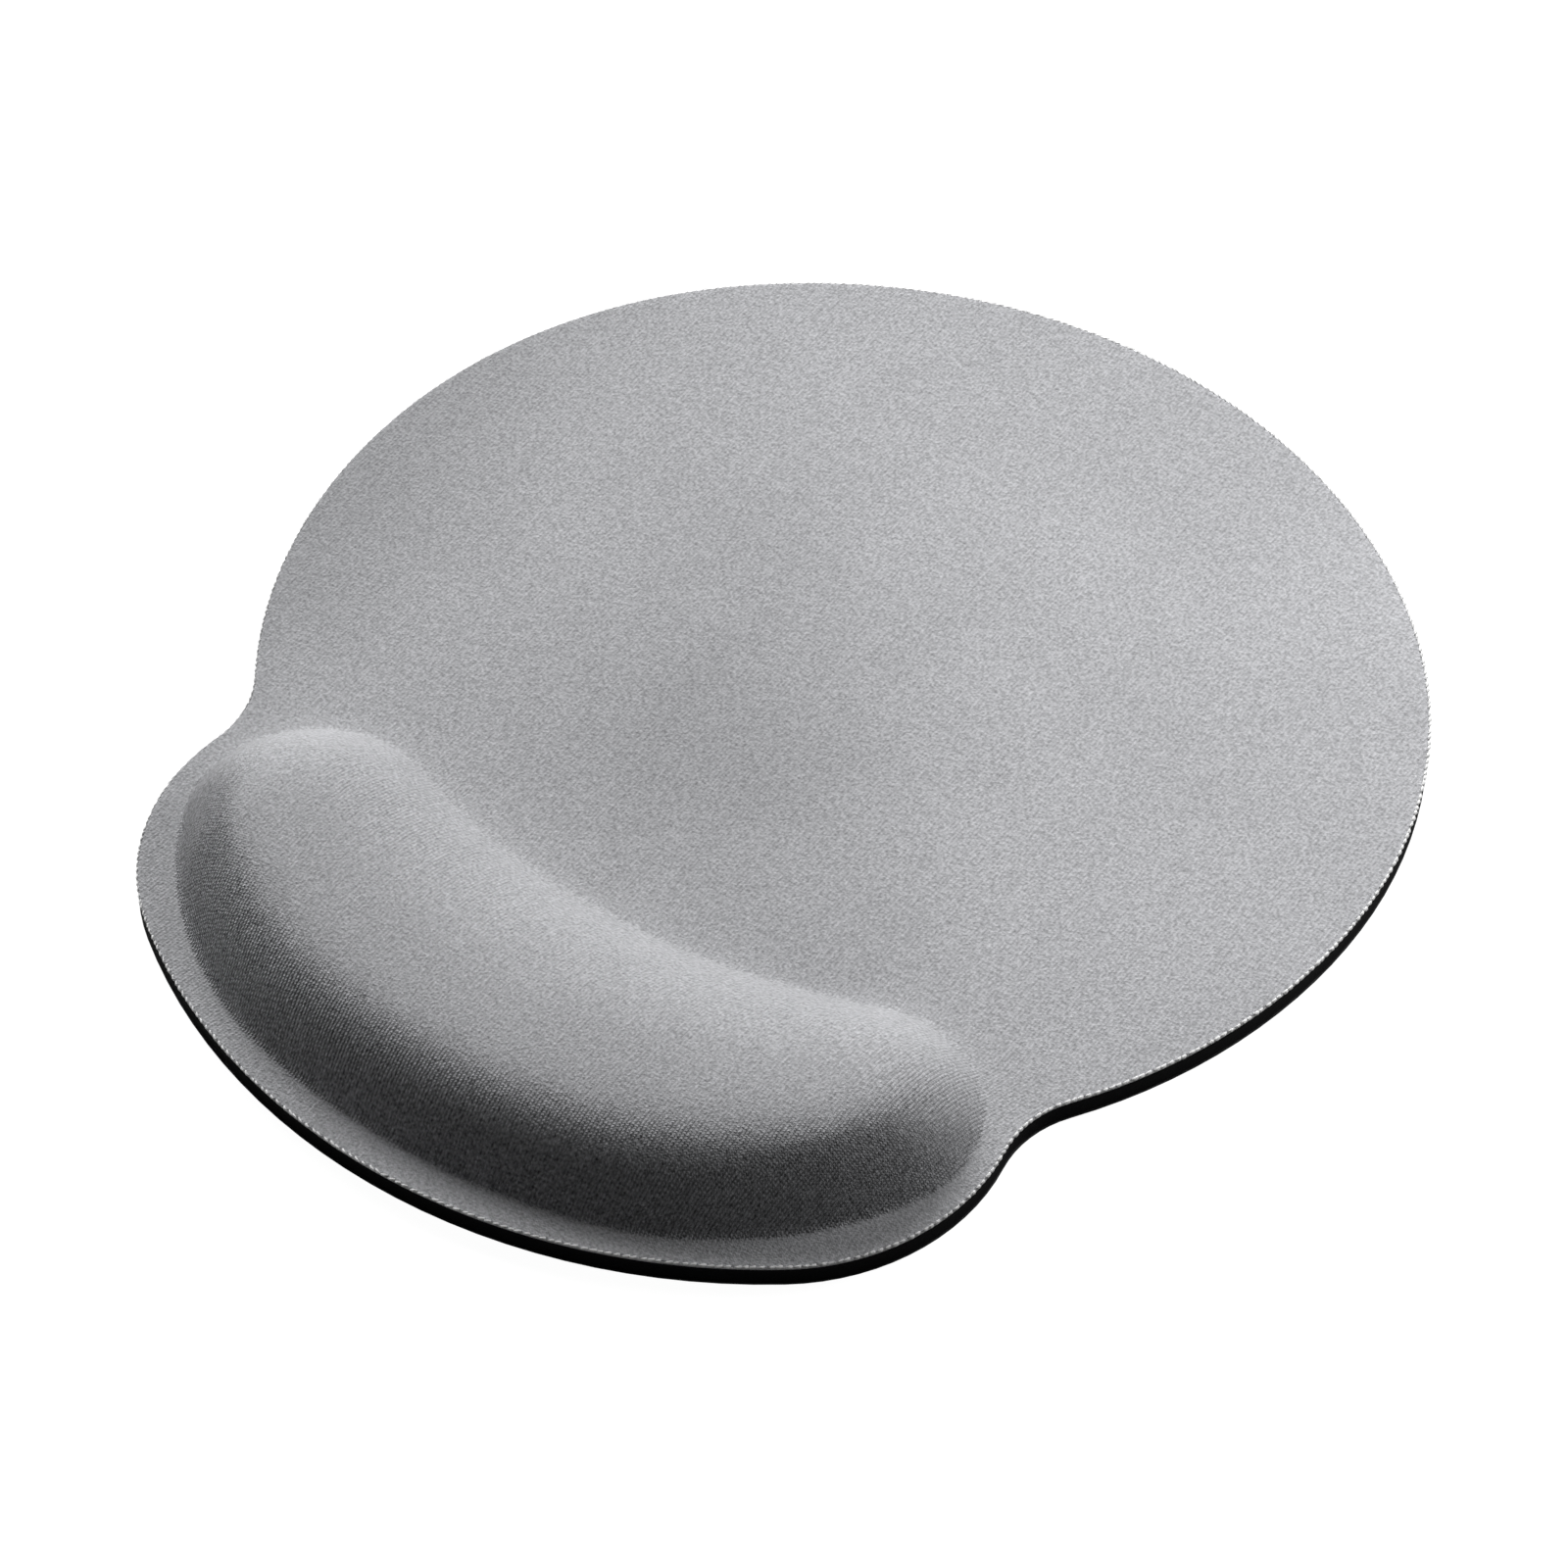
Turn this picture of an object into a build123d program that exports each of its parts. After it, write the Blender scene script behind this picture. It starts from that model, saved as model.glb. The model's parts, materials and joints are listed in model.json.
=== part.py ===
from build123d import *
import math
import os

os.makedirs("parts", exist_ok=True)

# A round-ended mouse mat with a raised, bean-shaped wrist cushion bonded under its fabric cover.
# Millimetres. +Z up, underside on Z = 0, the user sits on the -Y side, the part is symmetric about X = 0.

# Mat outline: tangent arcs from the middle of the far edge, round the right side, to the front edge.
FAR_EDGE_Y = 125.0
MAT_ARCS = [  # (radius, turn in degrees), turning right; a negative radius turns left
    (116.0, 43.0),  # far edge
    (100.0, 45.0),  # far corner
    (110.0, 37.0),  # side, running in towards the neck
    (-21.6, 45.5),  # neck, hollow
    (43.5, 64.5),  # front corner beside the cushion
]

# Cushion foot outline, where the raised cover meets the flat mat. Same rule, from its far middle.
FOOT_FAR_Y = -53.6
FOOT_ARCS = [
    (-142.0, 21.0),  # hollow side, facing the mouse area
    (23.8, 139.0),  # round end
    (72.5, 47.5),  # front corner
]

# Layers, from the desk up
GRIP_THICK = 0.5
BASE_THICK = 3.5
FILM_THICK = 0.2
FABRIC_THICK = 0.6
GLUE_THICK = FILM_THICK
LAYER_GAP = 0.05  # between the curved skins, so that they never share a face

# Cushion dome, above the flat fabric
CROWN = 14.5
CREST_FROM_FRONT = 27.0  # crest line to the front edge of the foot
CREST_HALF = 60.0  # half the length of the crest line, along X
SLOPE_FRONT = 2.0  # power of the fall from the crest: steep towards the user
SLOPE_BACK = 1.2  # and gentle towards the mouse
INSET_PER_DEPTH = 0.4  # how far a lower skin's foot steps in, per mm below the fabric's face
GRID_STEP = 3.0
GRID_MARGIN = 6.0

GLUE_INSET = 1.5  # glue edge behind the foot outline

# Underside grip: shallow round pockets on a triangular grid
POCKET_RADIUS = 2.6
POCKET_DEPTH = 0.25
POCKET_PITCH = 11.0
POCKET_BORDER = 6.0  # plain band round the edge

Z_BASE = GRIP_THICK
Z_MAT = GRIP_THICK + BASE_THICK
Z_SHEET = Z_MAT + FILM_THICK
Z_TOP = Z_SHEET + FABRIC_THICK


def walk_arcs(far_y, arcs):
    """Follow the arcs: (centre, radius, heading, turn) of each, and of the front arc that closes the half."""
    x, y, heading = 0.0, far_y, 0.0
    steps = []
    for radius, turn in arcs:
        cx, cy = x + radius * math.sin(heading), y - radius * math.cos(heading)
        steps.append(((cx, cy), radius, heading, math.radians(turn)))
        heading -= math.copysign(math.radians(turn), radius)
        x, y = cx - radius * math.sin(heading), cy + radius * math.cos(heading)
    radius = -x / math.sin(heading)
    steps.append(((0.0, y - radius * math.cos(heading)), radius, heading, math.pi + heading))
    return steps


def outline(far_y, arcs, inset=0.0):
    """A closed face, symmetric about X = 0, its edge stepped in by inset."""
    right = []
    for (cx, cy), radius, heading, turn in walk_arcs(far_y, arcs):
        inner = radius - inset
        start = (cx - inner * math.sin(heading), cy + inner * math.cos(heading))
        tangent = (math.cos(heading), math.sin(heading))
        right.append(JernArc(start, tangent, abs(inner), -math.copysign(math.degrees(turn), radius)))
    half = Curve() + right
    return make_face(half + mirror(half, about=Plane.YZ))


def sheet(far_y, arcs, low, thick, inset=0.0):
    """A flat layer with its underside at Z = low."""
    return extrude(Pos(0, 0, low) * outline(far_y, arcs, inset), thick)


FOOT = walk_arcs(FOOT_FAR_Y, FOOT_ARCS)
FRONT_CENTRE, FRONT_RADIUS = FOOT[-1][0], FOOT[-1][1]
CREST_RADIUS = FRONT_RADIUS - CREST_FROM_FRONT  # the crest line runs parallel to the front of the foot


def on_arc(x, y, centre, radius, heading, turn):
    """True where the direction from the arc's centre to the point falls on the arc."""
    side = math.copysign(1.0, radius)
    angle = math.atan2(y - centre[1], x - centre[0])
    return side * (heading + side * math.pi / 2 - angle) % (2 * math.pi) <= turn + 1e-6


def reach_to_foot(x, y, ux, uy):
    """Distance from a point inside the foot outline to the outline, along the unit direction (ux, uy)."""
    hits = []
    for centre, radius, heading, turn in FOOT:
        ex, ey = x - centre[0], y - centre[1]
        along = ex * ux + ey * uy
        square = along**2 - ex**2 - ey**2 + radius**2
        if square < 0:
            continue
        for step in (-along - math.sqrt(square), -along + math.sqrt(square)):
            if step > 0 and on_arc(x + step * ux, y + step * uy, centre, radius, heading, turn):
                hits.append(step)
    return min(hits)


def dome_height(x, y, inset):
    """Height of the dome above its own foot plane; it falls below zero outside the foot."""
    x = abs(x)
    dx, dy = x - FRONT_CENTRE[0], y - FRONT_CENTRE[1]
    half_angle = math.asin(CREST_HALF / CREST_RADIUS)
    angle = min(math.atan2(dx, -dy), half_angle)
    crest_x = FRONT_CENTRE[0] + CREST_RADIUS * math.sin(angle)
    crest_y = FRONT_CENTRE[1] - CREST_RADIUS * math.cos(angle)
    away = math.hypot(x - crest_x, y - crest_y)
    if away < 1e-6:
        return CROWN
    ux, uy = (x - crest_x) / away, (y - crest_y) / away
    share = away / (reach_to_foot(crest_x, crest_y, ux, uy) - inset)
    power = (SLOPE_FRONT + SLOPE_BACK) / 2 - uy * (SLOPE_FRONT - SLOPE_BACK) / 2
    if share > 1:
        return -CROWN * math.pi / 2 * power * (share - 1)
    return CROWN * math.cos(math.pi / 2 * share**power)


def dome(below, cut):
    """The solid under a dome skin that lies `below` the fabric's face, kept above Z = cut."""
    inset = INSET_PER_DEPTH * below
    foot = outline(FOOT_FAR_Y, FOOT_ARCS).bounding_box()
    low_x, high_x = foot.min.X - GRID_MARGIN, foot.max.X + GRID_MARGIN
    low_y, high_y = foot.min.Y - GRID_MARGIN, foot.max.Y + GRID_MARGIN
    columns = round((high_x - low_x) / GRID_STEP)
    rows = round((high_y - low_y) / GRID_STEP)
    points = []
    for i in range(columns + 1):
        x = low_x + (high_x - low_x) * i / columns
        line = []
        for j in range(rows + 1):
            y = low_y + (high_y - low_y) * j / rows
            line.append(Vector(x, y, Z_TOP - below + dome_height(x, y, inset)))
        points.append(line)
    skin = Face.make_surface_from_array_of_points(points)
    under = extrude(skin, 4 * CROWN, dir=(0, 0, -1))
    keep = Pos(0, 0, cut + 2 * CROWN) * Box(2 * FAR_EDGE_Y, 4 * FAR_EDGE_Y, 4 * CROWN)
    return under & keep


def cover_fabric():
    """The grey knit: one piece, flat over the mat and raised over the cushion."""
    cover = sheet(FAR_EDGE_Y, MAT_ARCS, Z_SHEET, FABRIC_THICK) + dome(0.0, Z_SHEET)
    return cover - dome(FABRIC_THICK, Z_SHEET)


def cover_film():
    """The thin bonding film on the back of the fabric."""
    outer = FABRIC_THICK + LAYER_GAP
    film = sheet(FAR_EDGE_Y, MAT_ARCS, Z_MAT, FILM_THICK) + dome(outer, Z_MAT)
    return film - dome(outer + FILM_THICK, Z_MAT)


def foam_core():
    """The soft bean that carries the wrist, lying on its glue sheet."""
    below = FABRIC_THICK + FILM_THICK + 2 * LAYER_GAP
    return dome(below, Z_MAT + GLUE_THICK)


def core_adhesive():
    """The glue sheet between the core and the base."""
    return sheet(FOOT_FAR_Y, FOOT_ARCS, Z_MAT, GLUE_THICK, GLUE_INSET)


def base_foam():
    """The black rubber-foam mat."""
    return sheet(FAR_EDGE_Y, MAT_ARCS, Z_BASE, BASE_THICK)


def grip_skin():
    """The non-slip underside, with shallow pockets."""
    skin = sheet(FAR_EDGE_Y, MAT_ARCS, 0.0, GRIP_THICK)
    inner = outline(FAR_EDGE_Y, MAT_ARCS, POCKET_BORDER + POCKET_RADIUS)
    row_step = POCKET_PITCH * math.sqrt(3) / 2
    rows = math.floor(FAR_EDGE_Y / row_step)
    columns = math.floor(FAR_EDGE_Y / POCKET_PITCH)
    spots = []
    for row in range(-rows, rows + 1):
        shift = POCKET_PITCH / 2 * (row % 2)
        for column in range(-columns, columns + 1):
            spots.append(Location((shift + column * POCKET_PITCH, row * row_step)))
    spots = [spot for spot in spots if inner.is_inside(spot.position)]
    pocket = Circle(POCKET_RADIUS)
    return skin - extrude(Sketch() + [spot * pocket for spot in spots], POCKET_DEPTH)


PARTS = [cover_fabric, cover_film, foam_core, core_adhesive, base_foam, grip_skin]

for make in PARTS:
    solid = make()
    solid.label = make.__name__
    export_step(solid, f"parts/{make.__name__}.step")
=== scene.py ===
import json
import math

import bpy
import numpy as np
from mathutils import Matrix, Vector
from mathutils.bvhtree import BVHTree

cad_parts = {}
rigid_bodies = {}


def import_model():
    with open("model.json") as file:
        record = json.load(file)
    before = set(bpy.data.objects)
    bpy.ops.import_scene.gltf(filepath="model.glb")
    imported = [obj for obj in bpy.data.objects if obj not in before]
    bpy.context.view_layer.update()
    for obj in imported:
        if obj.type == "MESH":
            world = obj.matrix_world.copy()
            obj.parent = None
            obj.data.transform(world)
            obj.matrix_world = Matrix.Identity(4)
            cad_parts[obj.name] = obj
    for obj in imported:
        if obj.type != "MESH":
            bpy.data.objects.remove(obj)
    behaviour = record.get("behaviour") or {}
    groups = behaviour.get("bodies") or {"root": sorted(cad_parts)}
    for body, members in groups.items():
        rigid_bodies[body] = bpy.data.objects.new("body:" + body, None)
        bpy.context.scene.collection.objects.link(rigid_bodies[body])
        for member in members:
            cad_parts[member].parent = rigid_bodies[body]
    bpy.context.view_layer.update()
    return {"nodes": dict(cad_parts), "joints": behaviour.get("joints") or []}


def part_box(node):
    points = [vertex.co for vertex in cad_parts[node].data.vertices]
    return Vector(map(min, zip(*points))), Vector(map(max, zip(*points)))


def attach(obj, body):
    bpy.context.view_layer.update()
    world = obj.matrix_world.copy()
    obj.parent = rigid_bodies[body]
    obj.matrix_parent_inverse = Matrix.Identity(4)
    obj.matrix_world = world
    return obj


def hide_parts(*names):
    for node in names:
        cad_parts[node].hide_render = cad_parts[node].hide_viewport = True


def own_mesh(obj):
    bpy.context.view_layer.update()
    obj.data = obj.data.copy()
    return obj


# The looks of a round-ended mouse mat with a bean-shaped wrist cushion under its knit cover.
# Metres. +Z up, the user sits on the -Y side. Each mesh stands for a layer of the CAD model.

MM = 0.001

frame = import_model()

# Heights of the layers, from the CAD model
BASE_LOW, BASE_TOP = (corner.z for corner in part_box("base_foam"))
SHEET_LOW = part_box("cover_fabric")[0].z
CORE_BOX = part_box("foam_core")
JOINT = frame["joints"][0]  # the cushion's press
BODY = JOINT["parent"]

FABRIC_THICK = 0.6 * MM
FILM_THICK = SHEET_LOW - BASE_TOP
SHEET_TOP = SHEET_LOW + FABRIC_THICK

SPOKES = 960  # points round the mat's edge, which halves cleanly six times
HUB = np.array([0.0, 25.0]) * MM  # the rings shrink towards this point of the mouse area


# ---------------------------------------------------------------- outlines


def rim_points(node, z, centre):
    """The corners of a CAD node's outline at height z, in order round the centre."""
    found = {(round(v.co.x, 7), round(v.co.y, 7)) for v in node.data.vertices if abs(v.co.z - z) < 1e-6}
    return np.array(sorted(found, key=lambda p: math.atan2(p[1] - centre[1], p[0] - centre[0])))


def even_loop(points, count):
    """A smooth closed curve through the points, as evenly spaced points."""
    ahead, behind = np.roll(points, -1, 0), np.roll(points, 1, 0)
    after = np.linalg.norm(ahead - points, axis=1)[:, None]
    before = np.roll(after, 1, 0)
    slope = ((points - behind) * after / before + (ahead - points) * before / after) / (after + before)
    slope_ahead = np.roll(slope, -1, 0)
    curve = []
    for t in np.linspace(0, 1, 12, endpoint=False):
        start = (2 * t**3 - 3 * t**2 + 1) * points + (t**3 - 2 * t**2 + t) * after * slope
        end = (3 * t**2 - 2 * t**3) * ahead + (t**3 - t**2) * after * slope_ahead
        curve.append(start + end)
    curve = np.stack(curve, 1).reshape(-1, 2)
    curve = np.vstack([curve, curve[:1]])
    length = np.concatenate([[0], np.cumsum(np.linalg.norm(np.diff(curve, axis=0), axis=1))])
    wanted = np.linspace(0, length[-1], count, endpoint=False)
    return np.stack([np.interp(wanted, length, curve[:, k]) for k in (0, 1)], 1)


def outward(loop):
    """Unit normals of a counter-clockwise loop, pointing out of it."""
    along = np.roll(loop, -1, 0) - np.roll(loop, 1, 0)
    normal = np.stack([along[:, 1], -along[:, 0]], 1)
    return normal / np.linalg.norm(normal, axis=1)[:, None]


EDGE = even_loop(rim_points(frame["nodes"]["base_foam"], BASE_TOP, HUB), SPOKES)
EDGE_OUT = outward(EDGE)


# ---------------------------------------------------------------- the draped cover

DRAPE_CELL = 1.5 * MM  # the cloth's grid
DRAPE_MARGIN = 12.0 * MM  # flat cover round the cushion that the cloth takes in
PIN_MARGIN = 1.5 * MM  # the cover is bonded down from here outwards
SIM_SCALE = 10.0  # at ten times real size the solver's smallest distances are fine enough
SIM_FRAMES = 24
LIFT_CAP = 0.35 * MM
FOOT_PASSES = 1  # smoothing of the cover's shape, which rounds the foot by about half a millimetre
LIFT_PASSES = 2  # smoothing of the lift
RAY_HEIGHT = 0.1  # rays start well above the cushion


def grid_lines(cell):
    """Grid lines over the cushion and a margin round it, with an odd number each way."""
    low, high = CORE_BOX
    lines = []
    for k in (0, 1):
        span = high[k] - low[k] + 2 * DRAPE_MARGIN
        count = 2 * round(span / cell / 2) + 1
        lines.append(np.linspace(low[k] - DRAPE_MARGIN, high[k] + DRAPE_MARGIN, count))
    return lines


XS, YS = grid_lines(DRAPE_CELL / 2)  # the heights in the end; the cloth has every second line


def surface_heights(tree, xs, ys, scale=1.0):
    """Heights of a surface straight below each point of a grid, or the flat sheet's where it misses."""
    heights = np.full((len(xs), len(ys)), SHEET_TOP)
    for i, x in enumerate(xs):
        for j, y in enumerate(ys):
            hit = tree.ray_cast(Vector((x, y, RAY_HEIGHT)) * scale, Vector((0, 0, -1)))[0]
            if hit is not None:
                heights[i, j] = hit.z / scale
    return heights


def grid_mesh(name, heights):
    """The cloth's grid as a mesh object, at the solver's scale."""
    columns, rows = heights.shape
    across, along = np.meshgrid(XS[::2], YS[::2], indexing="ij")
    points = np.stack([across, along, heights], 2).reshape(-1, 3) * SIM_SCALE
    faces = []
    for i in range(columns - 1):
        for j in range(rows - 1):
            corner = i * rows + j
            faces.append((corner, corner + rows, corner + rows + 1, corner + 1))
    mesh = bpy.data.meshes.new(name)
    mesh.from_pydata(points.tolist(), [], faces)
    obj = bpy.data.objects.new(name, mesh)
    bpy.context.scene.collection.objects.link(obj)
    return obj


def grown(mask, cells):
    """A grid mask, spread out by a number of cells."""
    for _ in range(cells):
        wide = np.pad(mask, 1)
        across = wide[2:, 1:-1] | wide[:-2, 1:-1]
        along = wide[1:-1, 2:] | wide[1:-1, :-2]
        mask = mask | across | along
    return mask


def collision_former(heights):
    """The shape that the knit lies on, as a collision object."""
    former = grid_mesh("former", heights)
    former.modifiers.new("Collision", "COLLISION")
    former.collision.thickness_outer = 0.001
    former.collision.thickness_inner = 0.2
    former.collision.cloth_friction = 2.0
    return former


def shrinking_knit(sheet):
    """Cloth settings: a knit that shrinks a little and is pressed down, held where it is bonded."""
    cloth = sheet.modifiers.new("Cloth", "CLOTH")
    settings = cloth.settings
    settings.vertex_group_mass = "bonded"
    settings.quality = 6
    settings.mass = 0.2
    settings.tension_stiffness = 25
    settings.compression_stiffness = 25
    settings.shear_stiffness = 10
    settings.bending_stiffness = 0.8
    settings.air_damping = 4
    settings.shrink_min = 0.01
    settings.use_pressure = True
    settings.uniform_pressure_force = -1.0
    settings.effector_weights.gravity = 0
    cloth.collision_settings.distance_min = FABRIC_THICK * SIM_SCALE
    cloth.collision_settings.collision_quality = 3
    cloth.collision_settings.use_self_collision = False
    cloth.point_cache.frame_start = 1
    cloth.point_cache.frame_end = SIM_FRAMES


def run_frames():
    """Step through the simulation's frames."""
    scene = bpy.context.scene
    scene.frame_start, scene.frame_end = 1, SIM_FRAMES
    for number in range(1, SIM_FRAMES + 1):
        scene.frame_set(number)


def pull_taut(heights):
    """Cloth simulation: how far the knit lifts as it pulls taut and bridges the crease at the foot."""
    sheet = grid_mesh("drape", heights)
    bonded = sheet.vertex_groups.new(name="bonded")
    free = grown(heights > SHEET_TOP + 0.02 * MM, round(PIN_MARGIN / DRAPE_CELL))
    bonded.add(np.flatnonzero(~free).tolist(), 1.0, "REPLACE")
    former = collision_former(heights - FABRIC_THICK)
    shrinking_knit(sheet)
    run_frames()

    shaped = sheet.evaluated_get(bpy.context.evaluated_depsgraph_get()).to_mesh()
    points = [v.co.copy() for v in shaped.vertices]
    polygons = [tuple(p.vertices) for p in shaped.polygons]
    tree = BVHTree.FromPolygons(points, polygons)
    result = surface_heights(tree, XS[::2], YS[::2], SIM_SCALE)
    for helper in (sheet, former):
        bpy.data.objects.remove(helper)
    bpy.context.scene.frame_set(1)
    return np.clip(result - heights, 0, LIFT_CAP)


def smooth(field, passes):
    """Blur a height grid with a small symmetric kernel."""
    for _ in range(passes):
        for axis in (0, 1):
            padded = np.pad(field, [(1, 1) if k == axis else (0, 0) for k in (0, 1)], mode="edge")
            low, mid, high = (np.roll(padded, shift, axis) for shift in (1, 0, -1))
            blurred = 0.25 * low + 0.5 * mid + 0.25 * high
            field = blurred[1:-1] if axis == 0 else blurred[:, 1:-1]
    return field


def doubled(field):
    """A coarse grid's values on a grid with twice the lines."""
    for axis in (0, 1):
        count = field.shape[axis]
        wanted = np.arange(2 * count - 1) / 2
        field = np.apply_along_axis(lambda line: np.interp(wanted, np.arange(count), line), axis, field)
    return field


def cover_heights():
    """Height of the cover above the flat sheet, on the fine grid."""
    tree = BVHTree.FromObject(frame["nodes"]["cover_fabric"], bpy.context.evaluated_depsgraph_get())
    heights = surface_heights(tree, XS, YS)
    cover = smooth(heights, FOOT_PASSES) - SHEET_TOP
    cover += doubled(smooth(pull_taut(heights[::2, ::2]), LIFT_PASSES))
    return (cover + cover[::-1]) / 2  # the cushion is the same on both sides


HEIGHTS = cover_heights()


def cubic_weights(t):
    """Weights of four neighbouring samples for a smooth curve through the middle two."""
    return (
        ((2 - t) * t - 1) * t / 2,
        ((3 * t - 5) * t * t + 2) / 2,
        ((4 - 3 * t) * t + 1) * t / 2,
        (t - 1) * t * t / 2,
    )


def sample(field, points):
    """A grid field's value at any points of the mat, held at its edge value outside the grid."""
    place = []
    for k, lines in enumerate((XS, YS)):
        steps = (points[:, k] - lines[0]) / (lines[1] - lines[0])
        place.append(np.clip(steps, 1.0, len(lines) - 2.001))
    i, j = place[0].astype(int), place[1].astype(int)
    across, along = cubic_weights(place[0] - i), cubic_weights(place[1] - j)
    total = np.zeros(len(points))
    for a in range(4):
        for b in range(4):
            total += across[a] * along[b] * field[i - 1 + a, j - 1 + b]
    return total


def lift(points):
    """Height of the cover above the flat sheet at any points of the mat."""
    return sample(HEIGHTS, points)


def extra_length():
    """How much longer than straight across the fabric is, from the middle out to each grid point."""
    steps = np.hypot(np.diff(HEIGHTS, axis=0), XS[1] - XS[0]) - (XS[1] - XS[0])
    from_left = np.vstack([np.zeros(len(YS)), np.cumsum(steps, axis=0)])
    return from_left - from_left[len(XS) // 2]


EXTRA = extra_length()


def cover_points(loop, below=0.0):
    """Points of a skin that lies `below` the fabric's face, over a loop of the mat."""
    step = 0.5 * MM
    x_slope = (lift(loop + [step, 0]) - lift(loop - [step, 0])) / (2 * step)
    y_slope = (lift(loop + [0, step]) - lift(loop - [0, step])) / (2 * step)
    steep = np.sqrt(1 + x_slope**2 + y_slope**2)
    shift = np.stack([x_slope, y_slope], 1) * (below / steep)[:, None]
    z = SHEET_TOP + lift(loop) - below / steep
    return np.column_stack([loop + shift, z])


# ---------------------------------------------------------------- mesh building


def ring(inset, z):
    """The mat's edge, stepped in by inset, at a level or at one level per point."""
    loop = EDGE - EDGE_OUT * np.reshape(inset, (-1, 1))
    return np.column_stack([loop, np.broadcast_to(z, len(loop))])


def band(lower, upper, count_low, count_up):
    """Faces between two rings; one may have half as many points as the other."""
    faces = []
    if count_low == count_up:
        for i in range(count_low):
            k = (i + 1) % count_low
            faces.append((lower + i, lower + k, upper + k, upper + i))
        return faces
    fine, coarse, count = (lower, upper, count_up) if count_low > count_up else (upper, lower, count_low)
    for i in range(count):
        a, b, c = fine + 2 * i, fine + 2 * i + 1, fine + (2 * i + 2) % (2 * count)
        p, q = coarse + i, coarse + (i + 1) % count
        triangles = [(a, b, p), (b, c, q), (b, q, p)]
        faces += triangles if count_low > count_up else [tuple(reversed(t)) for t in triangles]
    return faces


def add_piece(name, points, faces, materials, face_materials=None, smooth_faces=True):
    """A new mesh object, with its materials."""
    mesh = bpy.data.meshes.new(name)
    mesh.from_pydata([tuple(p) for p in points], [], faces)
    for mat in materials:
        mesh.materials.append(mat)
    if face_materials is not None:
        mesh.polygons.foreach_set("material_index", face_materials)
    mesh.polygons.foreach_set("use_smooth", [smooth_faces] * len(faces))
    mesh.validate()
    obj = bpy.data.objects.new(name, mesh)
    bpy.context.scene.collection.objects.link(obj)
    return obj


def closed_stack(name, rings, materials, ring_materials=None):
    """A closed mesh through a stack of rings, capped at both ends."""
    starts = np.cumsum([0] + [len(r) for r in rings])
    faces = [tuple(range(len(rings[0])))[::-1]]
    kinds = [ring_materials[0] if ring_materials else 0]
    for k in range(len(rings) - 1):
        added = band(int(starts[k]), int(starts[k + 1]), len(rings[k]), len(rings[k + 1]))
        faces += added
        kinds += [ring_materials[k] if ring_materials else 0] * len(added)
    last = int(starts[-2])
    faces.append(tuple(range(last, last + len(rings[-1]))))
    kinds.append(ring_materials[-1] if ring_materials else 0)
    return add_piece(name, np.vstack(rings), faces, materials, kinds)


# ---------------------------------------------------------------- materials


def new_material(name):
    """An empty node material: (material, node tree, Principled node)."""
    mat = bpy.data.materials.new(name)
    mat.use_nodes = True
    tree = mat.node_tree
    return mat, tree, tree.nodes["Principled BSDF"]


def node(tree, kind, inputs=None, **settings):
    """Add a node; inputs are values or output sockets, by input name or number."""
    made = tree.nodes.new(kind)
    for key, value in settings.items():
        setattr(made, key, value)
    for key, value in (inputs or {}).items():
        if isinstance(value, bpy.types.NodeSocket):
            tree.links.new(value, made.inputs[key])
        else:
            made.inputs[key].default_value = value
    return made


def maths(tree, operation, *values):
    """One maths node's output."""
    return node(tree, "ShaderNodeMath", dict(enumerate(values)), operation=operation).outputs[0]


def millimetres(tree):
    """The point's place on the object, in millimetres."""
    place = node(tree, "ShaderNodeTexCoord").outputs["Object"]
    return node(tree, "ShaderNodeVectorMath", {0: place, "Scale": 1 / MM}, operation="SCALE").outputs[0]


def noise(tree, place, size, detail=2.0, roughness=0.5):
    """Noise from 0 to 1 with features of about size millimetres."""
    inputs = {"Vector": place, "Scale": 1 / size, "Detail": detail, "Roughness": roughness}
    return node(tree, "ShaderNodeTexNoise", inputs).outputs["Fac"]


def spread(tree, value, low, high):
    """Map a 0 to 1 value onto low to high."""
    inputs = {"Value": value, "From Min": 0.0, "From Max": 1.0, "To Min": low, "To Max": high}
    return node(tree, "ShaderNodeMapRange", inputs).outputs[0]


def tint(tree, colour, strength):
    """A colour multiplied by a brightness socket."""
    base = node(tree, "ShaderNodeCombineColor", dict(enumerate(colour))).outputs[0]
    return node(tree, "ShaderNodeVectorMath", {0: base, "Scale": strength}, operation="SCALE").outputs[0]


WALE = 0.71  # mm across one column of knit loops
COURSE = 0.55  # mm along the column from loop to loop


def knit_relief(tree, place):
    """Relief of a fine plain knit, 0 to 1: columns along Y, each of small V-shaped loops."""
    split = node(tree, "ShaderNodeSeparateXYZ", {0: place})
    wander = spread(tree, noise(tree, place, 3.0, 1.0), -0.35, 0.35)
    extra = node(tree, "ShaderNodeAttribute", attribute_name="extra_length").outputs["Fac"]
    across = maths(tree, "ADD", split.outputs[0], extra)
    column = maths(tree, "ADD", maths(tree, "DIVIDE", across, WALE), wander)
    off_centre = maths(tree, "ABSOLUTE", maths(tree, "SUBTRACT", maths(tree, "FRACT", column), 0.5))
    legs = maths(tree, "COSINE", maths(tree, "MULTIPLY", off_centre, math.pi))
    along = maths(tree, "DIVIDE", split.outputs[1], COURSE)
    along = maths(tree, "ADD", along, maths(tree, "MULTIPLY", off_centre, 1.2))
    along = maths(tree, "ADD", along, spread(tree, noise(tree, place, 1.6, 1.0), -0.8, 0.8))
    loops = maths(tree, "SINE", maths(tree, "MULTIPLY", along, 2 * math.pi))
    loops = spread(tree, maths(tree, "MULTIPLY_ADD", loops, 0.5, 0.5), 0.4, 1.0)
    return maths(tree, "MULTIPLY", legs, loops)


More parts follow.
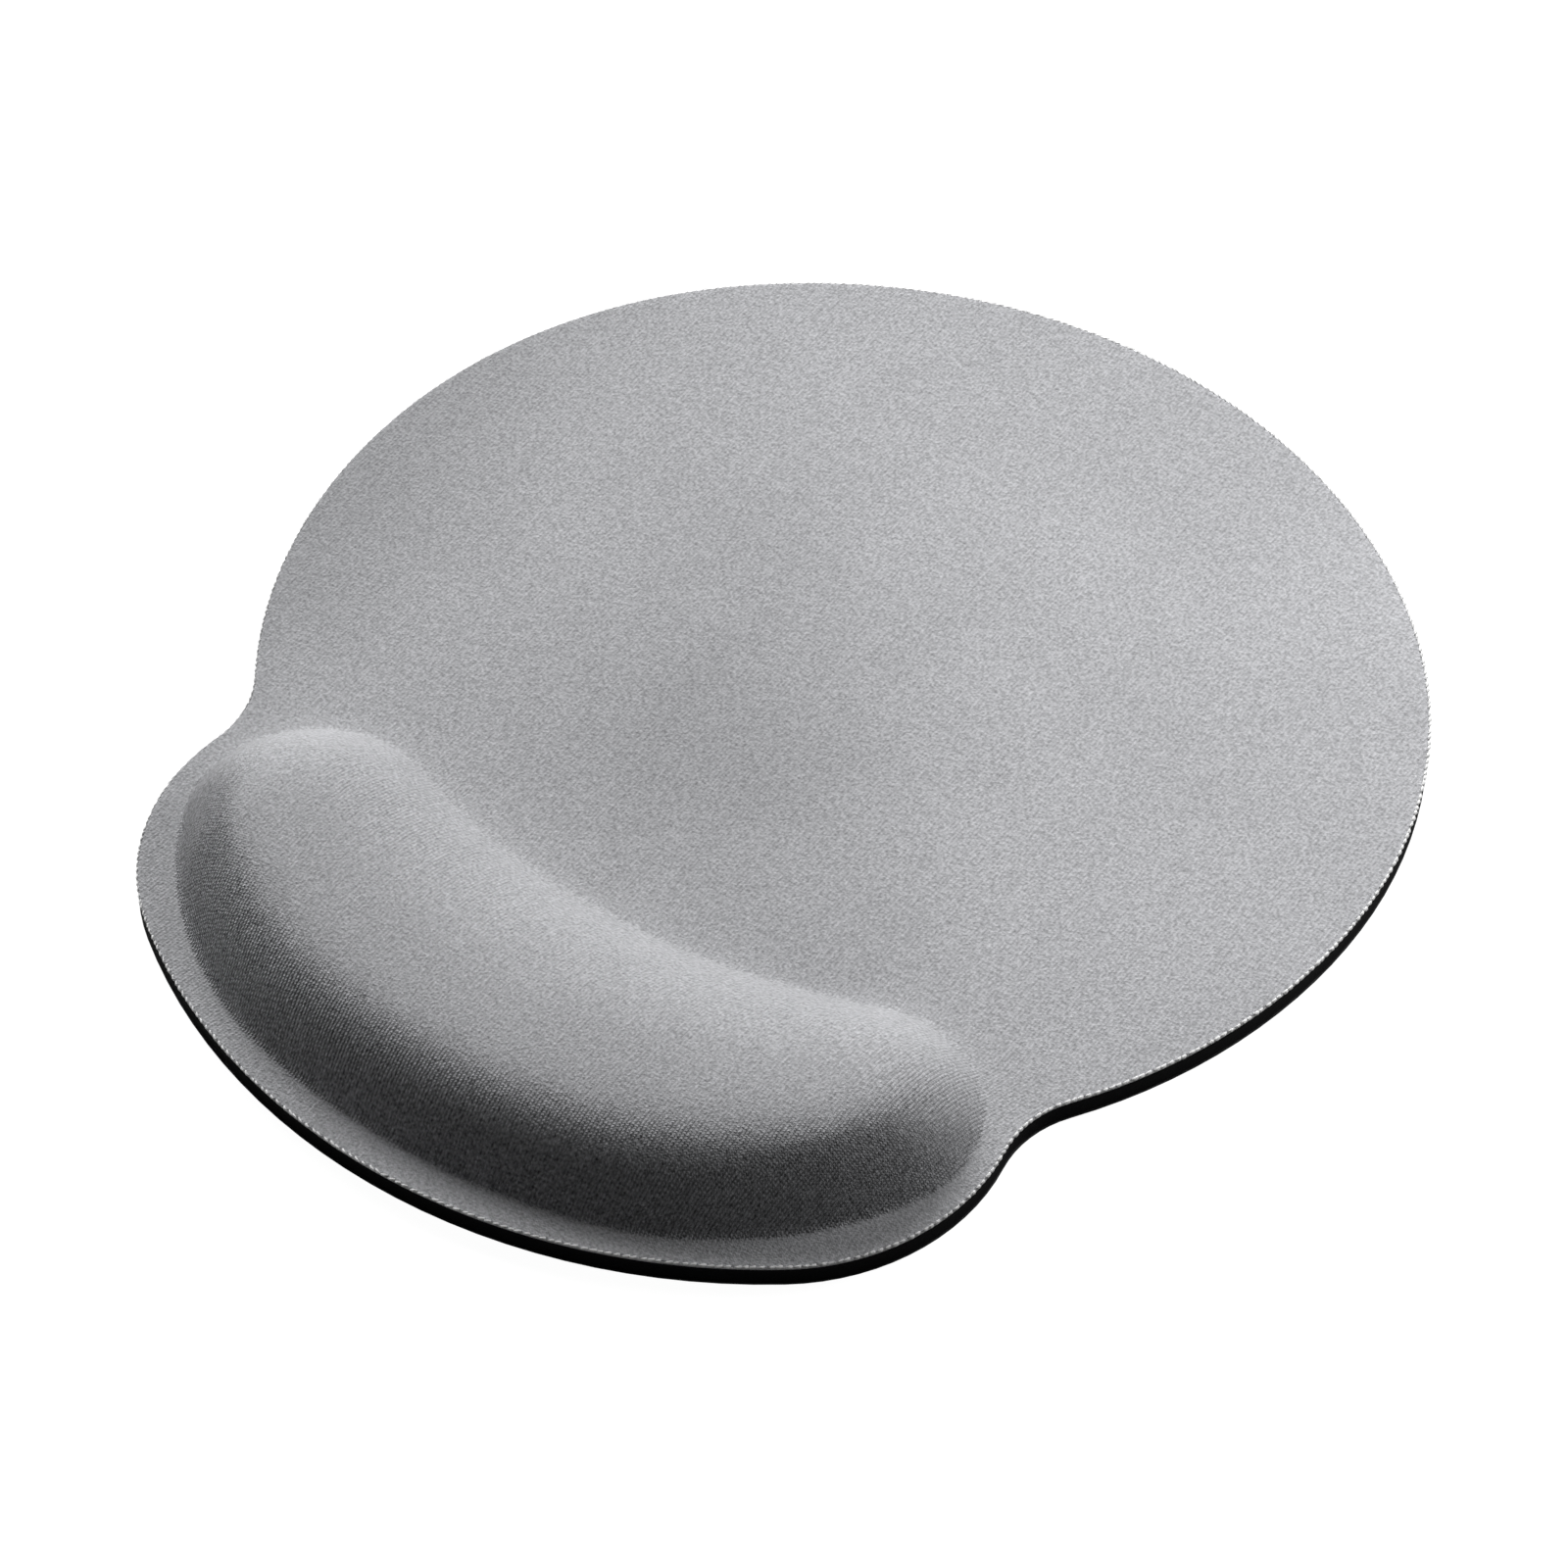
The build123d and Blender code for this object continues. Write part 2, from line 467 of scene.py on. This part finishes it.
def stretch_and_shade_mask(tree):
    """0 on the flat mat, 1 on the cushion's steep user side and ends, where the knit is pulled open; it
    also sets where painted shade darkens the grooves and painted contrast strengthens the grain on these
    shaded slopes.
    """
    facing = node(tree, "ShaderNodeSeparateXYZ", {0: node(tree, "ShaderNodeNewGeometry").outputs["Normal"]})
    steep = {"Value": facing.outputs[2], "From Min": 0.99, "From Max": 0.86}
    turned = {"Value": facing.outputs[1], "From Min": 0.55, "From Max": -0.25}
    shares = [node(tree, "ShaderNodeMapRange", inputs).outputs[0] for inputs in (steep, turned)]
    return maths(tree, "MULTIPLY", *shares)


FUZZ_SIZE = 0.62  # mm
CLOUD_SIZE = 55.0  # mm
CLOUD_START = (-191, -385, -363)  # mm: which stretch of the noise the cloudy patches come from
PAINTED_SHADE_SPOT = (-15, -8, 5)  # mm: the middle of a patch of painted shade on the mouse area
PAINTED_SHADE_REACH = 62  # mm
PAINTED_EDGE_SHADE = (-115.0, -68.0)  # mm along X: where the painted shade along the left edge starts and ends


def soft_step(tree, value, start, end, low):
    """Rise smoothly from low at start to 1 at end."""
    inputs = {"Value": value, "From Min": start, "From Max": end, "To Min": low, "To Max": 1.0}
    return node(tree, "ShaderNodeMapRange", inputs, interpolation_type="SMOOTHSTEP").outputs[0]


def painted_shade(tree, place):
    """Painted shade: brightness that drops in a patch of the mouse area and towards the left edge, where
    the light falls off, and is 1 elsewhere.
    """
    spot = node(tree, "ShaderNodeVectorMath", {0: place, 1: PAINTED_SHADE_SPOT}, operation="DISTANCE")
    side = node(tree, "ShaderNodeSeparateXYZ", {0: place})
    painted_patch = soft_step(tree, spot.outputs["Value"], 0.0, PAINTED_SHADE_REACH, 0.85)
    edge = soft_step(tree, side.outputs[0], *PAINTED_EDGE_SHADE, 0.80)
    return maths(tree, "MULTIPLY", painted_patch, edge)


def knit_material(name, colour, grain, relief_depth):
    """Matt knit: mottled yarn, faint cloudy patches, columns of loops and a soft sheen at low angles, with
    painted shade in a patch, along the left edge and in the loops' grooves on the steep user side.
    """
    mat, tree, shader = new_material(name)
    place = millimetres(tree)
    stretch_and_shade = stretch_and_shade_mask(tree)
    fuzz = noise(tree, place, FUZZ_SIZE, 1.0, 0.5)
    # the grain's contrast is painted stronger on the steep user side, standing in for raking light there
    mottle_and_painted_contrast = maths(tree, "MULTIPLY", spread(tree, fuzz, -grain, grain), spread(tree, stretch_and_shade, 1.0, 1.7))
    loops = knit_relief(tree, place)
    # painted shade: the grooves between the loops are darker and the loop tops lighter on the steep user
    # side
    painted_groove_shade = maths(tree, "MULTIPLY", spread(tree, loops, -0.22, 0.22), stretch_and_shade)
    yarn = maths(tree, "ADD", maths(tree, "ADD", mottle_and_painted_contrast, painted_groove_shade), 1.0)
    moved = node(tree, "ShaderNodeVectorMath", {0: place, 1: CLOUD_START}, operation="ADD").outputs[0]
    clouds = spread(tree, noise(tree, moved, CLOUD_SIZE, 3.0), 0.84, 1.16)
    # the knit's colour carries painted shade here: a darker patch on the mouse area and a darker left edge
    strength = maths(tree, "MULTIPLY", maths(tree, "MULTIPLY", yarn, clouds), painted_shade(tree, place))
    tree.links.new(tint(tree, colour, strength), shader.inputs["Base Color"])
    relief = maths(tree, "MULTIPLY", loops, spread(tree, stretch_and_shade, 0.22, 1.25))
    height = maths(tree, "MULTIPLY_ADD", fuzz, 0.7, relief)
    inputs = {"Height": height, "Strength": 1.0, "Distance": relief_depth * MM}
    tree.links.new(node(tree, "ShaderNodeBump", inputs).outputs[0], shader.inputs["Normal"])
    shader.inputs["Roughness"].default_value = 0.9
    shader.inputs["Specular IOR Level"].default_value = 0.2
    shader.inputs["Sheen Weight"].default_value = 0.08
    shader.inputs["Sheen Roughness"].default_value = 0.5
    return mat


def cut_knit_material():
    """The die-cut edge of the knit, where the print stops and the white yarn shows."""
    mat, tree, shader = new_material("cut_knit_white")
    place = millimetres(tree)
    tufts = noise(tree, place, 0.35, 2.0, 0.8)
    colour = tint(tree, (0.93, 0.93, 0.92), spread(tree, tufts, 0.90, 1.05))
    tree.links.new(colour, shader.inputs["Base Color"])
    bump = node(tree, "ShaderNodeBump", {"Height": tufts, "Strength": 0.5, "Distance": 0.10 * MM})
    tree.links.new(bump.outputs[0], shader.inputs["Normal"])
    shader.inputs["Roughness"].default_value = 0.85
    shader.inputs["Subsurface Weight"].default_value = 1.0  # thin white yarn lets light through
    shader.inputs["Subsurface Scale"].default_value = 0.6 * MM
    shader.inputs["Subsurface Radius"].default_value = (1.0, 1.0, 1.0)
    return mat


def film_material():
    """Milky bonding film, with faint flow marks."""
    mat, tree, shader = new_material("bonding_film")
    place = millimetres(tree)
    flow = noise(tree, place, 6.0, 3.0)
    colour = tint(tree, (0.62, 0.63, 0.64), spread(tree, flow, 0.92, 1.08))
    tree.links.new(colour, shader.inputs["Base Color"])
    tree.links.new(spread(tree, flow, 0.35, 0.5), shader.inputs["Roughness"])
    bump = node(tree, "ShaderNodeBump", {"Height": flow, "Strength": 0.3, "Distance": 0.1 * MM})
    tree.links.new(bump.outputs[0], shader.inputs["Normal"])
    return mat


def foam_material(name, colour, cell, roughness, depth):
    """Open-celled foam: a soft colour with small dark cells."""
    mat, tree, shader = new_material(name)
    place = millimetres(tree)
    inputs = {"Vector": place, "Scale": 1 / cell}
    cells = node(tree, "ShaderNodeTexVoronoi", inputs).outputs["Distance"]
    patches = spread(tree, noise(tree, place, 9.0, 2.0), 0.85, 1.15)
    pores = spread(tree, cells, 1.1, 0.6)
    tree.links.new(tint(tree, colour, maths(tree, "MULTIPLY", pores, patches)), shader.inputs["Base Color"])
    inputs = {"Height": cells, "Strength": 0.7, "Distance": depth * MM}
    bump = node(tree, "ShaderNodeBump", inputs, invert=True)
    tree.links.new(bump.outputs[0], shader.inputs["Normal"])
    shader.inputs["Roughness"].default_value = roughness
    shader.inputs["Specular IOR Level"].default_value = 0.25
    return mat


RIB_PITCH = 1.6  # mm


def grip_material():
    """Moulded non-slip rubber: a fine ribbed texture between the pockets, slightly dusty."""
    mat, tree, shader = new_material("grip_rubber_ribbed")
    place = millimetres(tree)
    split = node(tree, "ShaderNodeSeparateXYZ", {0: place})
    diagonals = []
    for operation in ("ADD", "SUBTRACT"):
        slant = maths(tree, operation, split.outputs[0], split.outputs[1])
        diagonals.append(maths(tree, "SINE", maths(tree, "MULTIPLY", slant, 2 * math.pi / RIB_PITCH)))
    lattice = maths(tree, "MULTIPLY", *diagonals)
    dust = noise(tree, place, 14.0, 4.0, 0.6)
    colour = tint(tree, (0.05, 0.05, 0.052), spread(tree, dust, 0.7, 1.35))
    tree.links.new(colour, shader.inputs["Base Color"])
    tree.links.new(spread(tree, dust, 0.5, 0.75), shader.inputs["Roughness"])
    relief = maths(tree, "ADD", lattice, noise(tree, place, 0.3, 2.0))
    bump = node(tree, "ShaderNodeBump", {"Height": relief, "Strength": 0.5, "Distance": 0.1 * MM})
    tree.links.new(bump.outputs[0], shader.inputs["Normal"])
    return mat


def glue_material():
    """Amber glue sheet with brushed streaks."""
    mat, tree, shader = new_material("glue_amber")
    place = millimetres(tree)
    streaks = noise(tree, place, 3.0, 4.0, 0.7)
    colour = tint(tree, (0.70, 0.60, 0.36), spread(tree, streaks, 0.8, 1.15))
    tree.links.new(colour, shader.inputs["Base Color"])
    tree.links.new(spread(tree, streaks, 0.25, 0.5), shader.inputs["Roughness"])
    return mat


KNIT_GREY = (0.450, 0.452, 0.468)
knit_top = knit_material("knit_grey", KNIT_GREY, 0.60, 0.26)
knit_back = knit_material("knit_back_white", (0.80, 0.80, 0.79), 0.15, 0.05)
knit_cut = cut_knit_material()


# ---------------------------------------------------------------- pieces

# How each skin shrinks towards its hub: (smallest share, largest share, rings, keep every n-th spoke)
FACE_RINGS = [
    (0.88, 0.995, 40, 1),
    (0.40, 0.875, 72, 1),
    (0.20, 0.385, 10, 2),
    (0.10, 0.185, 5, 4),
    (0.04, 0.085, 3, 8),
]
SKIN_RINGS = [(0.88, 0.990, 20, 2), (0.40, 0.870, 40, 2), (0.16, 0.380, 9, 4), (0.04, 0.140, 4, 8)]
CORE_RINGS = [(0.45, 0.985, 22, 1), (0.24, 0.42, 5, 2), (0.12, 0.21, 3, 4), (0.04, 0.09, 2, 8)]
FLAT_RINGS = [(0.80, 0.97, 2, 1), (0.45, 0.65, 2, 2), (0.15, 0.30, 2, 4), (0.05, 0.08, 1, 8)]
CORE_HUB = np.array([0.0, -88.0]) * MM  # inside the bean, near its middle
EDGE_BAND = 1.2 * MM  # the skins' own edge shapes lie within this band


def inward_loops(loop, hub, groups):
    """Loops that shrink from the edge towards the hub, with fewer points near it."""
    loops = []
    for low, high, count, skip in groups:
        for share in np.linspace(high, low, count):
            loops.append(hub + share * (loop[::skip] - hub))
    return loops


def at_level(loop, z):
    """A loop laid flat at height z."""
    return np.column_stack([loop, np.full(len(loop), z)])


def ragged(amount, seed, passes):
    """A smooth random offset per spoke, the same every run."""
    values = np.random.default_rng(seed).uniform(-1, 1, SPOKES)
    for _ in range(passes):
        values = (np.roll(values, 1) + values + np.roll(values, -1)) / 3
    return amount * values / np.abs(values).max()


INNER_EDGE = ring(EDGE_BAND, 0.0)[:, :2]
FACE_LOOPS = inward_loops(INNER_EDGE, HUB, FACE_RINGS)
SKIN_LOOPS = inward_loops(INNER_EDGE, HUB, SKIN_RINGS)


def knit_cover():
    """The one-piece knit: flat over the mouse area, drawn over the cushion, die-cut at the edge."""
    under = [cover_points(loop, FABRIC_THICK) for loop in SKIN_LOOPS[::-1]]
    fray = ragged(0.06 * MM, 3, 1)
    side = [
        ring(0.8 * MM, SHEET_LOW),
        ring(0.12 * MM, SHEET_LOW),
        ring(fray, SHEET_LOW + 0.1 * MM),
        ring(fray - 0.02 * MM, SHEET_TOP - 0.22 * MM),
        ring(0.10 * MM, SHEET_TOP - 0.10 * MM),
        ring(0.30 * MM, SHEET_TOP - 0.03 * MM),
        ring(0.60 * MM, SHEET_TOP),
    ]
    top = [cover_points(loop) for loop in FACE_LOOPS]
    kinds = [1] * len(under) + [2] * 4 + [0] * (len(side) - 4 + len(top))
    cover = closed_stack("knit_cover", under + side + top, [knit_top, knit_back, knit_cut], kinds)
    points = np.array([v.co.xy for v in cover.data.vertices])
    extra = cover.data.attributes.new("extra_length", "FLOAT", "POINT")
    extra.data.foreach_set("value", sample(EXTRA, points) / MM)
    return cover


TUFT_PITCH = 1.5 * MM
TUFT_LENGTH = 1.3 * MM
TUFT_RADIUS = 0.32 * MM
TUFT_BEND = [(-1, -0.10), (-0.35, 0.0), (0.35, 0.0), (1, -0.10)]  # (place along a tuft, mm outwards)
TUFT_SWELL = np.array([0.55, 1.0, 1.0, 0.55])  # shares of the radius at those places
TUFT_LEAN = 0.72  # share of the edge's own direction in a tuft's lean; the rest is the columns'
PULL = np.array([0.9, -0.4])  # the yarn ends are thickest on this side of the mat


def tube(path, radii, sides=6):
    """Points and faces of a short closed tube along a path."""
    axis = path[-1] - path[0]
    axis /= np.linalg.norm(axis)
    across = np.cross(axis, [0, 0, 1.0])
    across /= np.linalg.norm(across)
    up = np.cross(across, axis)
    points, faces = [], []
    for centre, radius in zip(path, radii):
        for k in range(sides):
            turn = 2 * math.pi * k / sides
            points.append(centre + radius * (across * math.cos(turn) + up * math.sin(turn)))
    for step in range(len(path) - 1):
        for k in range(sides):
            a, b = step * sides + k, step * sides + (k + 1) % sides
            faces.append((a, a + sides, b + sides, b))
    faces.append(tuple(range(sides)))
    last = (len(path) - 1) * sides
    faces.append(tuple(range(last, last + sides))[::-1])
    return points, faces


def cut_yarn_ends():
    """White yarn ends along the cut edge, each lying between the columns' direction and the edge's own."""
    rng = np.random.default_rng(11)
    length = np.linalg.norm(np.roll(EDGE, -1, 0) - EDGE, axis=1).sum()
    points, faces = [], []
    for number in range(int(length / TUFT_PITCH)):
        spoke = (number + rng.uniform(-0.2, 0.2)) * TUFT_PITCH / length * SPOKES
        low, share = int(spoke) % SPOKES, spoke % 1
        high = (low + 1) % SPOKES
        middle = EDGE[low] * (1 - share) + EDGE[high] * share
        out = EDGE_OUT[low]
        along = np.array([-out[1], out[0]])
        along *= 1 if along[1] >= 0 else -1
        lean = along * TUFT_LEAN + np.array([0, 1 - TUFT_LEAN])
        lean /= np.linalg.norm(lean)
        reach = TUFT_LENGTH * rng.uniform(0.75, 1.1) / 2
        height = SHEET_TOP + rng.uniform(-0.04, 0.06) * MM
        tilt = rng.uniform(-0.12, 0.12)
        path = []
        for t, bow in TUFT_BEND:
            spot = middle + lean * reach * t + out * bow * MM
            path.append(np.array([spot[0], spot[1], height + tilt * reach * t]))
        radius = TUFT_RADIUS * rng.uniform(0.8, 1.1) * (0.68 + 0.46 * out @ PULL)
        made, rims = tube(path, radius * TUFT_SWELL)
        faces += [tuple(len(points) + k for k in rim) for rim in rims]
        points += made
    return add_piece("cut_yarn_ends", points, faces, [knit_cut])


FILM_FACE = FABRIC_THICK + 0.05 * MM  # how far the film's two faces lie below the fabric's
FILM_BACK = FABRIC_THICK + FILM_THICK - 0.03 * MM
CORE_FACE = FILM_BACK + 0.12 * MM


def film_layer():
    """The bonding film between the knit and what it is stuck to."""
    back = [cover_points(loop, FILM_BACK) for loop in SKIN_LOOPS[::-1]]
    side = [
        ring(0.14 * MM, SHEET_TOP - FILM_BACK),
        ring(0.10 * MM, SHEET_TOP - FILM_BACK + 0.03 * MM),
        ring(0.10 * MM, SHEET_TOP - FILM_FACE - 0.03 * MM),
        ring(0.14 * MM, SHEET_TOP - FILM_FACE),
    ]
    face = [cover_points(loop, FILM_FACE) for loop in SKIN_LOOPS]
    return closed_stack("film_layer", back + side + face, [film_material()])


def core_bean():
    """The foam core under the cover, shaped like the inside of it."""
    floor_level = CORE_BOX[0].z
    rim = even_loop(rim_points(frame["nodes"]["foam_core"], floor_level, CORE_HUB), SPOKES // 3)
    bottom = [at_level(loop, floor_level) for loop in inward_loops(rim, CORE_HUB, FLAT_RINGS)[::-1]]
    top = []
    for loop in inward_loops(rim, CORE_HUB, CORE_RINGS):
        points = cover_points(loop, CORE_FACE)
        points[:, 2] = np.maximum(points[:, 2], floor_level + 0.1 * MM)
        top.append(points)
    foam = foam_material("foam_cream", (0.60, 0.55, 0.42), 0.7, 0.95, 0.25)
    return closed_stack("core_bean", bottom + [at_level(rim, floor_level)] + top, [foam])


BASE_SIDE = [  # die-cut side of the base: (mm in from the edge, share of the way up)
    (0.35, 0.0),
    (0.10, 0.03),
    (0.0, 0.10),
    (0.10, 0.35),
    (0.13, 0.55),
    (0.08, 0.80),
    (0.0, 0.95),
    (0.06, 1.0),
]


def base_mat():
    """The foam rubber base, slightly waisted where the die squeezed it."""
    bottom = [at_level(loop, BASE_LOW) for loop in inward_loops(INNER_EDGE, HUB, FLAT_RINGS)[::-1]]
    side = [ring(EDGE_BAND, BASE_LOW)]
    for number, (inset, share) in enumerate(BASE_SIDE):
        rough = np.abs(ragged(0.05 * MM, 20 + number, 2))
        side.append(ring(inset * MM + rough, BASE_LOW + share * (BASE_TOP - BASE_LOW)))
    side.append(ring(EDGE_BAND, BASE_TOP))
    top = [at_level(loop, BASE_TOP) for loop in inward_loops(INNER_EDGE, HUB, FLAT_RINGS)]
    rubber = foam_material("base_rubber_black", (0.008, 0.008, 0.009), 0.35, 0.7, 0.08)
    return closed_stack("base_mat", bottom + side + top, [rubber])


def mount(piece, slot, squashes, *cad_nodes):
    """Put a piece on the mat body, hide the CAD nodes it stands for and give it a mesh of its own if it
    squashes; the slot is not used.
    """
    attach(piece, BODY)
    if cad_nodes:
        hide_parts(*cad_nodes)
    if squashes:
        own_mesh(piece)


mount(knit_cover(), "knit", True, "cover_fabric")
mount(cut_yarn_ends(), "knit", True)
mount(film_layer(), "film", True, "cover_film")
mount(core_bean(), "foam", True, "foam_core")
mount(base_mat(), "base_rubber", False, "base_foam")

for cad_node, finish in (("core_adhesive", glue_material()), ("grip_skin", grip_material())):
    frame["nodes"][cad_node].data.materials.clear()
    frame["nodes"][cad_node].data.materials.append(finish)


# ---------------------------------------------------------------- floor, light and camera

FLOOR_HALF = 4.0
FLOOR_GLOW = 0.97  # near white
AMBIENT = 0.03
# Each light: (degrees clockwise from the far edge, degrees up, metres away, metres across, watts)
LIGHTS = {
    "key": (-45, 33.5, 1.2, 0.60, 12.0),
    "side": (-70, 30, 1.2, 0.60, 4.9),
    "near": (50, 45, 0.30, 0.20, 0.42),
    "under": (-45, -70, 0.8, 0.60, 5.0),  # shows the underside, through the floor
}


def one_sided_floor():
    """A pale floor that looks near white and gives little light back, but isn't there from below."""
    mat, tree, shader = new_material("floor_pale")
    path = node(tree, "ShaderNodeLightPath")
    ray = path.outputs["Is Camera Ray"]
    below = node(tree, "ShaderNodeNewGeometry").outputs["Backfacing"]
    through = maths(tree, "MAXIMUM", below, path.outputs["Is Shadow Ray"])
    shader.inputs["Base Color"].default_value = (0.3, 0.3, 0.3, 1)
    shader.inputs["Roughness"].default_value = 1.0
    shader.inputs["Specular IOR Level"].default_value = 0.0
    glow = node(tree, "ShaderNodeEmission", {"Color": (1, 1, 1, 1), "Strength": FLOOR_GLOW}).outputs[0]
    lit = node(tree, "ShaderNodeAddShader", {0: glow, 1: shader.outputs[0]}).outputs[0]
    seen = node(tree, "ShaderNodeMixShader", {0: ray, 1: shader.outputs[0], 2: lit}).outputs[0]
    clear = node(tree, "ShaderNodeBsdfTransparent").outputs[0]
    both = node(tree, "ShaderNodeMixShader", {0: through, 1: seen, 2: clear}).outputs[0]
    tree.links.new(both, tree.nodes["Material Output"].inputs["Surface"])
    corners = [(x * FLOOR_HALF, y * FLOOR_HALF, -0.1 * MM) for x, y in ((-1, -1), (1, -1), (1, 1), (-1, 1))]
    add_piece("floor", corners, [(0, 1, 2, 3)], [mat])


def white_room():
    """White all round to the camera, weak ambient light to everything else."""
    world = bpy.data.worlds.new("room")
    world.use_nodes = True
    tree = world.node_tree
    ray = node(tree, "ShaderNodeLightPath").outputs["Is Camera Ray"]
    strength = node(tree, "ShaderNodeMapRange", {"Value": ray, "To Min": AMBIENT, "To Max": 1.0}).outputs[0]
    tree.links.new(strength, tree.nodes["Background"].inputs["Strength"])
    tree.nodes["Background"].inputs["Color"].default_value = (1, 1, 1, 1)
    bpy.context.scene.world = world


def soft_light(name, bearing, height, distance, size, power):
    """A round area light that shines at the middle of the mat."""
    data = bpy.data.lights.new(name, "AREA")
    data.shape = "DISK"
    data.size = size
    data.energy = power
    turn, rise = math.radians(bearing), math.radians(height)
    toward = Vector((math.sin(turn) * math.cos(rise), math.cos(turn) * math.cos(rise), math.sin(rise)))
    light = bpy.data.objects.new(name, data)
    light.location = toward * distance
    light.rotation_euler = (-toward).to_track_quat("-Z", "Y").to_euler()
    light.visible_camera = False
    bpy.context.scene.collection.objects.link(light)


CAMERA_LENS = 150.32
CAMERA_PLACE = Vector((465.15, -679.42, 901.91)) * MM
CAMERA_TARGET = Vector((6.24, -9.00, 4.8)) * MM


def camera():
    """The view from the right of the user's side, looking down at 47 degrees."""
    data = bpy.data.cameras.new("camera")
    data.lens = CAMERA_LENS
    data.sensor_width = 36.0
    made = bpy.data.objects.new("camera", data)
    made.location = CAMERA_PLACE
    made.rotation_euler = (CAMERA_TARGET - CAMERA_PLACE).to_track_quat("-Z", "Y").to_euler()
    bpy.context.scene.collection.objects.link(made)
    bpy.context.scene.camera = made


one_sided_floor()
white_room()
for light_name, settings in LIGHTS.items():
    soft_light(light_name, *settings)
camera()
bpy.context.scene.view_settings.view_transform = "Standard"
